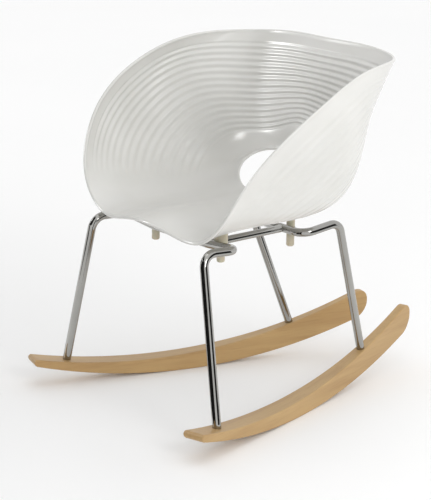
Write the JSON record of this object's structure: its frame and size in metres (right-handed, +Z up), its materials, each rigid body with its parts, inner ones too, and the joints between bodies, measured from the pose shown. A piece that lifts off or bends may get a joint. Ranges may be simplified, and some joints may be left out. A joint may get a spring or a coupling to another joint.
{
  "type": "rocking chair",
  "caption": "Rocking armchair: ribbed white plastic tub seat with a round hole in the back, on a bent chromed tube frame with two tapered wooden rockers.",
  "frame": {"origin": "on the floor, midway between the two places where the soles of the rockers touch it at rest", "axes": "+Z up; -Y is the way the sitter faces; +X towards the sitter's left hand; the chair is mirror-symmetric about X = 0"},
  "size_m": [0.6546, 0.7856, 0.7527],
  "materials": {
    "white_shell": "satin",
    "cream_plastic": "satin",
    "chromed_tube": "polished",
    "rocker_wood": "satin",
    "brass_insert": "satin",
    "zinc_steel": "satin"
  },
  "bodies": {
    "root": {"cap_nut_front_left": "cream_plastic", "cap_nut_front_right": "cream_plastic", "cap_nut_rear_left": "cream_plastic", "cap_nut_rear_right": "cream_plastic", "front_leg_hoop": "chromed_tube", "leg_end_plugs": "zinc_steel", "lug_front_left": "chromed_tube", "lug_front_right": "chromed_tube", "lug_rear_left": "chromed_tube", "lug_rear_right": "chromed_tube", "rear_leg_hoop": "chromed_tube", "rocker_bolts": "zinc_steel", "rocker_left": "rocker_wood", "rocker_right": "rocker_wood", "rocker_washers": "zinc_steel", "seat_shell": "white_shell", "shell_inserts": "brass_insert", "shell_studs": "zinc_steel", "side_rail_left": "chromed_tube", "side_rail_right": "chromed_tube", "spacer_front_left": "cream_plastic", "spacer_front_right": "cream_plastic", "spacer_rear_left": "cream_plastic", "spacer_rear_right": "cream_plastic"}
  },
  "joints": []
}
